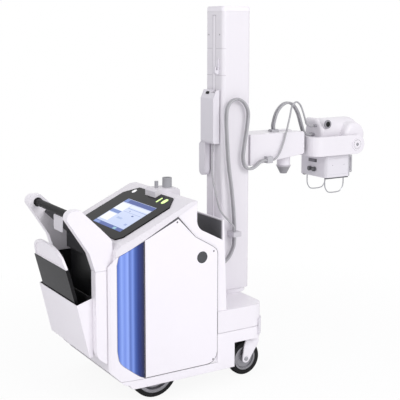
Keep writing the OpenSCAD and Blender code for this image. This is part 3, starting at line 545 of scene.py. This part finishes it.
NODE_FINISHES = {
    "side_panels": side_panel_finish(),
    "cabinet": cabinet_finish(),
    "rear_pillars": pillar_finish(),
    "console": moulded("console_moulding", shade(WHITE, 0.90), 0.4),
    "column_foot": enamel("foot_enamel", shade(WHITE, 0.92), 0.34),
    "docking_pod": moulded("pod_moulding", shade(WHITE, 0.84), 0.4),
    "yoke": enamel("yoke_enamel", shade(WHITE, 0.92), 0.32),
    "base_platform": enamel("platform_enamel", shade(WHITE, 0.97), 0.34),
    "docking_cone": two_tone("cone_moulding", shade(WHITE, 0.9), (0.30, 0.29, 0.31), 1040, 14),
    "hose_clip": moulded("clip_grey", (0.62, 0.60, 0.64), 0.42),
    "arm_gland": moulded("gland_grey", (0.50, 0.49, 0.52), 0.42),
    "hose_saddle": moulded("saddle_grey", (0.50, 0.49, 0.52), 0.42),
    "hose_outlet": moulded("outlet_grey", (0.55, 0.54, 0.57), 0.42),
    "collimator_controls": moulded("control_grey", (0.10, 0.10, 0.11), 0.4),
    "detector_bin": bin_finish(),
    "column": column_finish(),
    "tilt_scales": dial_finish(),
    "collimator": collimator_finish(),
    "docking_cups": moulded("cup_grey", (0.36, 0.36, 0.38), 0.36),
    "storage_liner": liner_finish(),
    "caster_tyre_right": tyre_finish("caster_tyre_rubber", CASTER_AXLE, 90),
    "tube_sockets": moulded("socket_grey", (0.30, 0.29, 0.32), 0.4),
}
NODE_FINISHES["caster_tyre_left"] = NODE_FINISHES["caster_tyre_right"]


def dress_nodes():
    for part in frame["record"]["subparts"]:
        node = frame["nodes"][part["node"]]
        finish = NODE_FINISHES.get(part["node"], FINISHES[part["material_slot"]])
        for slot in node.material_slots:
            slot.material = finish.material


dress_nodes()


# Hoses

RISER = [(426.3, -112, 556), (456, -112, 556), (512, -112, 564), (562, -112, 598),
         (592, -112, 650), (598, -112, 685), (598, -112, 711.7)]
LIFT = [(598, -112, 738.3), (598, -112, 770), (590, -112, 880), (575, -112, 1000),
        (560, -112, 1100), (548, -112, 1250), (545, -112, 1370), (566, -112, 1424),
        (612, -112, 1444), (654, -112, 1424), (680, -112, 1380), (680, -112, 1320),
        (662, -112, 1210), (652, -112, 1130), (670, -112, 1076), (716, -106, 1066),
        (772, -98, 1094), (792, -96, 1102), (814.7, -96, 1102)]
CONTROL = [(512, -35, 1206), (512, -35, 1180), (500, -42, 1130), (492, -60, 1040),
           (498, -85, 950), (512, -106, 860), (552, -132, 800), (582, -134, 765), (582, -134, 738.3)]
HEAD = [(932, 0, 1256.3), (932, 0, 1285), (952, 0, 1345), (988, 0, 1386), (1030, 0, 1400),
        (1070, 0, 1384), (1104, 0, 1335), (1126, 0, 1275), (1146, 0, 1226), (1172, 0, 1212),
        (1196.7, 0, 1212)]
CABLE = [(850.3, -96, 1102), (872, -96, 1102), (904, -95, 1130), (932, -94, 1186),
         (958, -90, 1258), (988, -76, 1328), (1016, -60, 1386), (1056, -48, 1406), (1092, -40, 1382),
         (1120, -34, 1330), (1144, -28, 1280), (1172, -28, 1262), (1196.7, -28, 1262)]
STEPS = 6


def smooth(route, offset):
    """The construction's own curve through a route, as points in metres."""
    points = [at(x, y + offset, z) for x, y, z in route]
    p = [2 * points[0] - points[1], *points, 2 * points[-1] - points[-2]]
    line = []
    for i in range(1, len(p) - 2):
        for k in range(STEPS):
            t = k / STEPS
            line.append(0.5 * (2 * p[i] + (p[i + 1] - p[i - 1]) * t
                               + (2 * p[i - 1] - 5 * p[i] + 4 * p[i + 1] - p[i + 2]) * t * t
                               + (3 * p[i] - p[i - 1] - 3 * p[i + 1] + p[i + 2]) * t * t * t))
    return line + [points[-1]]


def tube(line, radius, tangents, sides=16):
    """Closed tube round a line, its rings turned from the Y axis so that stretches meet."""
    mesh = bmesh.new()
    rings = []
    for point, d in zip(line, tangents):
        u = d.cross(Vector((0, 1, 0))).normalized()
        v = d.cross(u)
        rings.append([mesh.verts.new(point + radius * (u * math.cos(a) + v * math.sin(a)))
                      for a in (2 * math.pi * k / sides for k in range(sides))])
    for low, high in zip(rings, rings[1:]):
        for k in range(sides):
            n = (k + 1) % sides
            mesh.faces.new((low[k], low[n], high[n], high[k])).smooth = True
    mesh.faces.new(rings[0][::-1])
    mesh.faces.new(rings[-1])
    bmesh.ops.recalc_face_normals(mesh, faces=mesh.faces)
    return mesh


def piece(name, mesh, finish, body=None):
    data = bpy.data.meshes.new(name)
    mesh.to_mesh(data)
    mesh.free()
    obj = keep(bpy.data.objects.new(name, data))
    data.materials.append(finish.material)
    if body:
        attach(obj, body)
    return obj


def hose(name, node, route, offset, radius, stretches):
    """One hose, made in stretches: a stretch with one body rides on it, and a stretch between two bodies stays where
    it is.
    """
    line = smooth(route, offset)
    last = len(line) - 1
    tangents = [(line[min(i + 1, last)] - line[max(i - 1, 0)]).normalized() for i in range(last + 1)]
    tangents[0] = (line[1] - line[0]).normalized()
    tangents[last] = (line[last] - line[last - 1]).normalized()
    for number, (first, final, one, other, start, end) in enumerate(stretches):
        a, b = first * STEPS, final * STEPS
        part = line[a:b + 1]
        length = sum((q - p).length for p, q in zip(part, part[1:]))
        obj = piece(f"{name}_{number + 1}", tube(part, radius, tangents[a:b + 1]),
                    FINISHES["hose_grey"], None if other else one)
        if other:
            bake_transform(obj)
        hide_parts(node)


def make_hoses():
    for side, offset in (("right", -7.5), ("left", 7.5)):
        hose(f"riser_hose_{side}", "riser_hoses", RISER, offset, HOSE_RADIUS,
             [(0, 6, "chassis", "column", (440, -112, 600), (590, -112, 600))])
        hose(f"lift_hose_{side}", "lift_hoses", LIFT, offset, HOSE_RADIUS,
             [(0, 8, "column", "carriage", (590, -112, 780), (590, -112, 1400)),
              (8, 18, "carriage", None, None, None)])
    hose("control_hose", "control_hose", CONTROL, 0, CABLE_RADIUS,
         [(0, 8, "carriage", "column", (540, -80, 1180), (540, -80, 780))])
    for side, offset in (("right", -9), ("left", 9)):
        hose(f"head_hose_{side}", "head_hoses", HEAD, offset, HOSE_RADIUS,
             [(0, 4, "arm_stage_2", "yoke", (940, 0, 1300), (1026, 0, 1300)),
              (4, 10, "yoke", "tube_head", (1034, 0, 1300), (1168, 0, 1300))])
    hose("head_cable", "head_cable", CABLE, 0, CABLE_RADIUS,
         [(0, 4, "carriage", "arm_stage_1", (874, -90, 1200), (954, -90, 1200)),
          (4, 6, "arm_stage_1", "arm_stage_2", (960, -80, 1300), (1012, -80, 1300)),
          (6, 8, "arm_stage_2", "yoke", (1018, -50, 1390), (1088, -50, 1390)),
          (8, 12, "yoke", "tube_head", (1096, -40, 1300), (1168, -40, 1300))])


make_hoses()


# Small parts

def disc(mesh, centre, axis, radius, height, sides=32, dome=0.25):
    """Button shape: a short cylinder whose top edge is rounded over."""
    axis = Vector(axis).normalized()
    u = axis.orthogonal().normalized()
    v = axis.cross(u)
    levels = [(1.0, 0.0), (1.0, height * (1 - dome)), (0.94, height * (1 - 0.3 * dome)), (0.82, height)]
    rings = [[mesh.verts.new(centre + axis * h + radius * r * (u * math.cos(a) + v * math.sin(a)))
              for a in (2 * math.pi * k / sides for k in range(sides))] for r, h in levels]
    for low, high in zip(rings, rings[1:]):
        for k in range(sides):
            n = (k + 1) % sides
            mesh.faces.new((low[k], low[n], high[n], high[k])).smooth = True
    mesh.faces.new(rings[-1]).smooth = False
    mesh.faces.new(rings[0][::-1])


def slab(mesh, centre, u, v, half_u, half_v, height, corner, sides=6):
    """Flat plate with round corners, standing on the plane of u and v."""
    u, v = Vector(u).normalized(), Vector(v).normalized()
    n = u.cross(v)
    outline = []
    for su, sv, start in ((1, 1, 0), (-1, 1, 90), (-1, -1, 180), (1, -1, 270)):
        for k in range(sides + 1):
            a = math.radians(start + 90 * k / sides)
            outline.append((su * (half_u - corner) + corner * math.cos(a),
                            sv * (half_v - corner) + corner * math.sin(a)))
    rings = []
    for shrink, h in ((0.0, 0.0), (0.0, height * 0.7), (height * 0.3, height)):
        rings.append([mesh.verts.new(centre + u * a * (1 - shrink / half_u)
                                     + v * b * (1 - shrink / half_v) + n * h) for a, b in outline])
    count = len(outline)
    for low, high in zip(rings, rings[1:]):
        for k in range(count):
            mesh.faces.new((low[k], low[(k + 1) % count], high[(k + 1) % count], high[k]))
    mesh.faces.new(rings[-1])
    mesh.faces.new(rings[0][::-1])


def build(name, body, slot, finish, *calls):
    mesh = bmesh.new()
    for function, *arguments in calls:
        function(mesh, *arguments)
    bmesh.ops.recalc_face_normals(mesh, faces=mesh.faces)
    return piece(name, mesh, finish, body)


# The display's own plane: up its slope, out of its face and across
UP_SLOPE = Vector((math.cos(TILT), 0, math.sin(TILT)))
OUT = Vector((-math.sin(TILT), 0, math.cos(TILT)))
ACROSS = Vector((0, 1, 0))


def on_display(rise, y):
    return at(DISPLAY_FOOT[0], y, DISPLAY_FOOT[1]) + (UP_SLOPE * rise + OUT * DISPLAY_THICK) / 1000


def make_console_parts():
    middle = (SCREEN_LEFT + SCREEN_RIGHT) / 2
    build("screen", "chassis", "black_gloss", screen_finish(),
          (slab, on_display(165.5, middle), UP_SLOPE, ACROSS, 0.1135, 0.1525, 0.0006, 0.003))
    green = lamp_finish("green_lamp", (0.62, 0.85, 0.30), 0.75)
    white = lamp_finish("white_button", (0.88, 0.88, 0.90), 0.35)
    build("status_lamps", "chassis", "white_cover", green,
          (slab, on_display(338, -108), UP_SLOPE, ACROSS, 0.021, 0.0065, 0.0012, 0.006),
          (slab, on_display(340, -160), UP_SLOPE, ACROSS, 0.021, 0.0145, 0.0014, 0.0140))
    build("start_button", "chassis", "white_cover", white,
          (slab, on_display(343, 172), UP_SLOPE, ACROSS, 0.015, 0.0135, 0.0014, 0.0130))


def make_column_parts():
    lips = moulded("groove_lips", shade(WHITE, 0.80), 0.5)
    strip = moulded("groove_strip", shade(WHITE, 1.06), 0.3)
    calls = [(slab, at(540.2, side * 12.2, 1180), (0, 0, 1), (0, 1, 0), 0.7005, 0.0058, 0.001, 0.001)
             for side in (-1, 1)]
    build("groove_lips", "column", "white_cover", lips, *calls)
    build("groove_strip", "column", "white_cover", strip,
          (slab, at(539.9, 0, 1180), (0, 0, 1), (0, 1, 0), 0.7005, 0.0066, 0.0012, 0.001))
    dark = FINISHES["grip_rubber"]
    build("cover_port", "carriage", "grip_rubber", dark,
          (slab, at(506, 12, 1474.5), (20, 0, 44), (0, 1, 0), 0.008, 0.017, 0.001, 0.0078))


def make_handle_parts():
    pale = FINISHES["grey_cover"]
    build("handle_plate", "chassis", "grey_cover", pale,
          (slab, at(-354, 14, 864), (0, 0, 1), (0, 1, 0), 0.038, 0.054, 0.004, 0.005))
    dark = FINISHES["grip_rubber"]
    build("bar_flanges", "chassis", "grip_rubber", dark,
          (disc, at(-378, 222, 938), (0, -1, 0), 0.023, 0.005),
          (disc, at(-378, -222, 938), (0, 1, 0), 0.023, 0.005))


def make_wheel_parts():
    steel = FINISHES["bright_wire"]
    drive_x, drive_z = DRIVE_AXLE
    caster_x, caster_z = CASTER_AXLE
    ring = 62
    for side, name in ((-1, "right"), (1, "left")):
        bolts = [(disc, at(drive_x + ring * math.cos(a), side * 269, drive_z + ring * math.sin(a)),
                  (0, side, 0), 0.006, 0.005) for a in (2 * math.pi * k / 5 for k in range(5))]
        hub = (disc, at(drive_x, side * 281, drive_z), (0, side, 0), 0.022, 0.003)
        build(f"drive_hub_{name}", f"drive_wheel_{name}", "bright_wire", steel, hub, *bolts)
        build(f"caster_bolts_{name}", f"caster_{name}", "bright_wire", steel,
              (disc, at(caster_x, side * 281, caster_z), (0, side, 0), 0.011, 0.006),
              (disc, at(caster_x, side * 219, caster_z), (0, -side, 0), 0.011, 0.006))


def make_head_parts():
    dark = moulded("window_grey", (0.22, 0.21, 0.24), 0.2)
    knob = moulded("knob_grey", (0.16, 0.16, 0.17), 0.35)
    build("collimator_window", "collimator", "black_gloss", dark,
          (slab, at(1213.8, 6, 1061), (0, 0, 1), (0, 1, 0), 0.0085, 0.027, 0.0008, 0.002))
    build("knob_caps", "collimator", "dark_plastic", knob,
          *[(disc, at(1201, y, 1012), (-1, 0, 0), 0.010, 0.003) for y in (18, -20)])
    glass = moulded("light_window", (0.10, 0.11, 0.12), 0.08)
    build("beam_window", "collimator", "black_gloss", glass,
          (slab, at(BEAM_X, 0, 970), (0, 1, 0), (1, 0, 0), 0.070, 0.070, 0.001, 0.004))
    # black discs as painted shade inside the sockets' bores
    build("socket_bore_shades", "tube_head", "grip_rubber", FINISHES["grip_rubber"],
          *[(disc, at(1250, side * 90, 1274), (0, side, 0), 0.015, 0.001) for side in (-1, 1)])
    build("tilt_bolts", "yoke", "bright_wire", FINISHES["bright_wire"],
          *[(disc, at(TILT_PIVOT[0], side * 154, TILT_PIVOT[1]), (0, side, 0), 0.008, 0.004, 6) for side in (-1, 1)])


make_console_parts()
make_column_parts()
make_handle_parts()
make_wheel_parts()
make_head_parts()


# Floor, light and background

def make_floor():
    mesh = bmesh.new()
    bmesh.ops.create_grid(mesh, x_segments=1, y_segments=1, size=60)
    data = bpy.data.meshes.new("floor")
    mesh.to_mesh(data)
    mesh.free()
    floor = keep(bpy.data.objects.new("floor", data))
    finish = Finish("floor", roughness=0.8, specular_ior_level=0.1)
    finish.set("Base Color", (0.90, 0.90, 0.90))
    x, y = (finish.add("SeparateXYZ", None, {0: finish.spot}, axis) for axis in "XY")
    reach = (x * x + y * y).math("SQRT")
    far = ((reach - 1.0) * 0.8).math("MAXIMUM", 0.0).math("MINIMUM", 1.0)
    seen = finish.add("LightPath", None, None, "Is Camera Ray")
    glow = finish.add("Emission", None, {"Color": (1, 1, 1), "Strength": 1.0})
    mixed = finish.add("MixShader", None, {0: seen * (0.92 + far * 0.08), 2: glow})
    finish.tree.links.new(finish.shader.outputs[0], mixed.socket.node.inputs[1])
    finish.tree.links.new(mixed.socket, finish.tree.nodes["Material Output"].inputs["Surface"])
    data.materials.append(finish.material)


def make_world():
    world = bpy.data.worlds.new("studio")
    bpy.context.scene.world = world
    world.use_nodes = True
    nodes, links = world.node_tree.nodes, world.node_tree.links
    lit = nodes["Background"]
    lit.inputs["Color"].default_value = (0.97, 0.97, 1.0, 1)
    lit.inputs["Strength"].default_value = 0.64
    shown = nodes.new("ShaderNodeBackground")
    shown.inputs["Color"].default_value = (1, 1, 1, 1)
    path = nodes.new("ShaderNodeLightPath")
    either = nodes.new("ShaderNodeMath")
    either.operation = "MAXIMUM"
    third = nodes.new("ShaderNodeMath")
    third.operation = "MAXIMUM"
    mix = nodes.new("ShaderNodeMixShader")
    links.new(path.outputs["Is Camera Ray"], either.inputs[0])
    links.new(path.outputs["Is Glossy Ray"], either.inputs[1])
    links.new(either.outputs[0], third.inputs[0])
    links.new(path.outputs["Is Transmission Ray"], third.inputs[1])
    links.new(third.outputs[0], mix.inputs[0])
    links.new(lit.outputs[0], mix.inputs[1])
    links.new(shown.outputs[0], mix.inputs[2])
    links.new(mix.outputs[0], nodes["World Output"].inputs["Surface"])


def soft_light(name, place, target, size, power):
    data = bpy.data.lights.new(name, "AREA")
    data.size = size
    data.energy = power
    lamp = keep(bpy.data.objects.new(name, data))
    lamp.location = place
    lamp.rotation_euler = (Vector(target) - Vector(place)).to_track_quat("-Z", "Y").to_euler()


make_floor()
make_world()
soft_light("side_light", (0.8, -4.5, 3.2), (0, 0, 0.9), 3.0, 107)
soft_light("rear_light", (-4.5, -1.5, 2.6), (0, 0, 0.9), 2.6, 46)
soft_light("top_light", (0, 0.6, 5.0), (0, 0, 0.8), 3.0, 16)
bpy.context.scene.view_settings.view_transform = "Standard"
